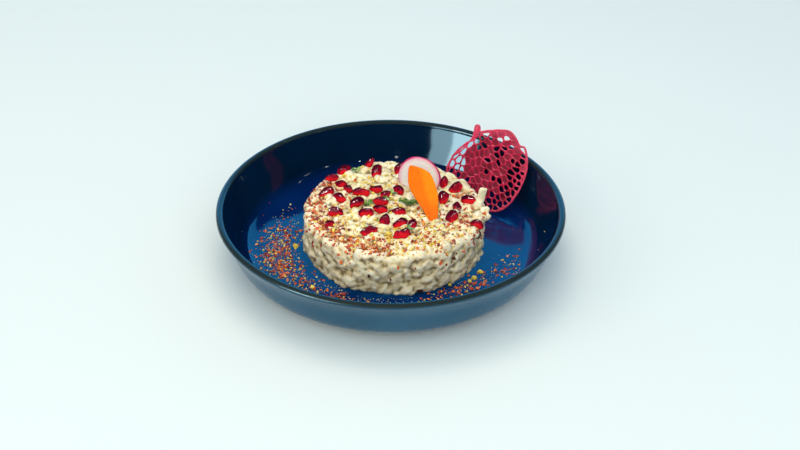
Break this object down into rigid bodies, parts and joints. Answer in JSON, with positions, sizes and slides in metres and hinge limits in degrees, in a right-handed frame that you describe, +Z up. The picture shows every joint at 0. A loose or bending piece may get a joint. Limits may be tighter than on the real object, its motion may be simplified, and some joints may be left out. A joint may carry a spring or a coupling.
{
  "type": "plated aubergine dip",
  "caption": "Moulded round of creamy aubergine dip in a wide glazed bowl, topped with pomegranate arils, radish, carrot and a beetroot lace crisp.",
  "frame": {"origin": "on the surface that the bowl stands on, under the middle of the bowl", "axes": "+Z up; -Y is the diner's side, from which the radish and the crisp stand at the back right"},
  "size_m": [0.22, 0.22, 0.0591],
  "materials": {
    "glaze": "gloss",
    "dip": "satin",
    "radish": "satin",
    "carrot": "satin",
    "lace": "satin",
    "aril": "gloss",
    "chilli": "matte",
    "crumb": "matte",
    "herb": "satin"
  },
  "bodies": {
    "root": {"bowl": "glaze", "dip": "dip", "aubergine_shred": "dip", "radish_slice": "radish", "carrot_slice": "carrot", "beet_lace": "lace", "aril_01": "aril", "aril_02": "aril", "aril_03": "aril", "aril_04": "aril", "aril_05": "aril", "aril_06": "aril", "aril_07": "aril", "aril_08": "aril", "aril_09": "aril", "aril_10": "aril", "aril_11": "aril", "aril_12": "aril", "aril_13": "aril", "aril_14": "aril", "aril_15": "aril", "aril_16": "aril", "aril_17": "aril", "aril_18": "aril", "aril_19": "aril", "aril_20": "aril", "aril_21": "aril", "aril_22": "aril", "aril_23": "aril", "aril_24": "aril", "aril_25": "aril", "aril_26": "aril", "aril_27": "aril", "aril_28": "aril", "aril_29": "aril", "aril_30": "aril", "aril_31": "aril", "aril_32": "aril"}
  },
  "joints": []
}
